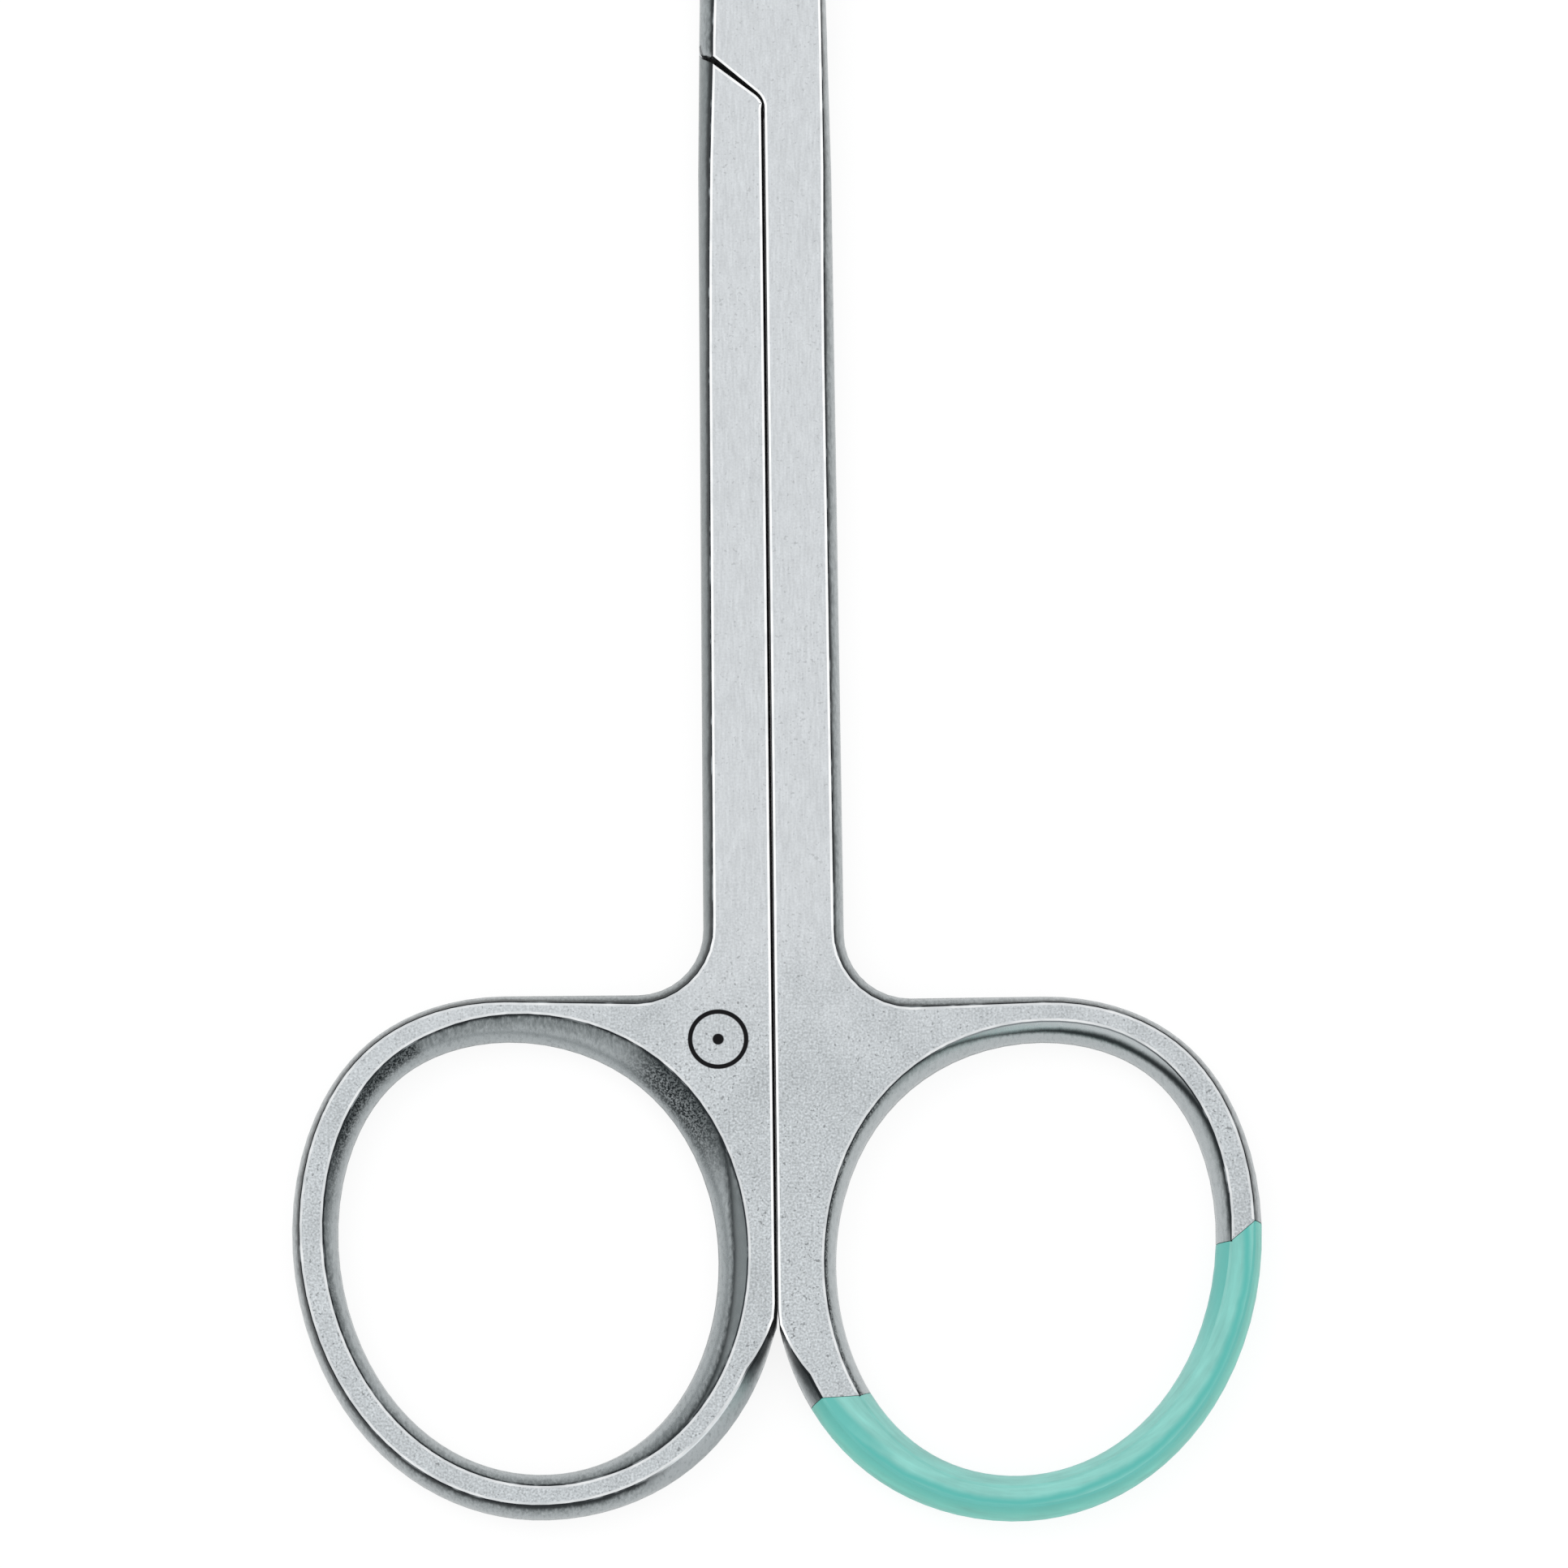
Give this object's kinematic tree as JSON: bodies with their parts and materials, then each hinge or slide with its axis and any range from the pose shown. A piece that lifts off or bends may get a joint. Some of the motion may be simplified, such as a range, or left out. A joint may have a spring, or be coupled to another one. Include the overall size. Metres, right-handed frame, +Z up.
{
  "type": "iris scissors",
  "caption": "Small straight surgical scissors with finger rings, a lap joint on a slotted screw and a colour coat on one ring.",
  "frame": {"origin": "middle of the scissors' length and width, on the surface they lie on", "axes": "+Y towards the blade tips, +Z up out of the surface, +X towards the ring with the colour coat"},
  "size_m": [0.0512, 0.1152, 0.0033],
  "materials": {
    "satin_steel": "fine satin, ground lengthwise",
    "screw_steel": "turned and polished",
    "ring_coat": "smooth thin teal coat"
  },
  "bodies": {
    "lower": {"lower_half": "satin_steel", "pivot_screw": "screw_steel"},
    "upper": {"upper_half": "satin_steel", "ring_coat": "ring_coat"}
  },
  "joints": [
    {"name": "scissor_pivot", "type": "hinge", "parent": "lower", "child": "upper", "pos_m": [0, 0.02799, 0.0015], "axis": [0, 0, 1], "range_deg": [0, 90]}
  ]
}
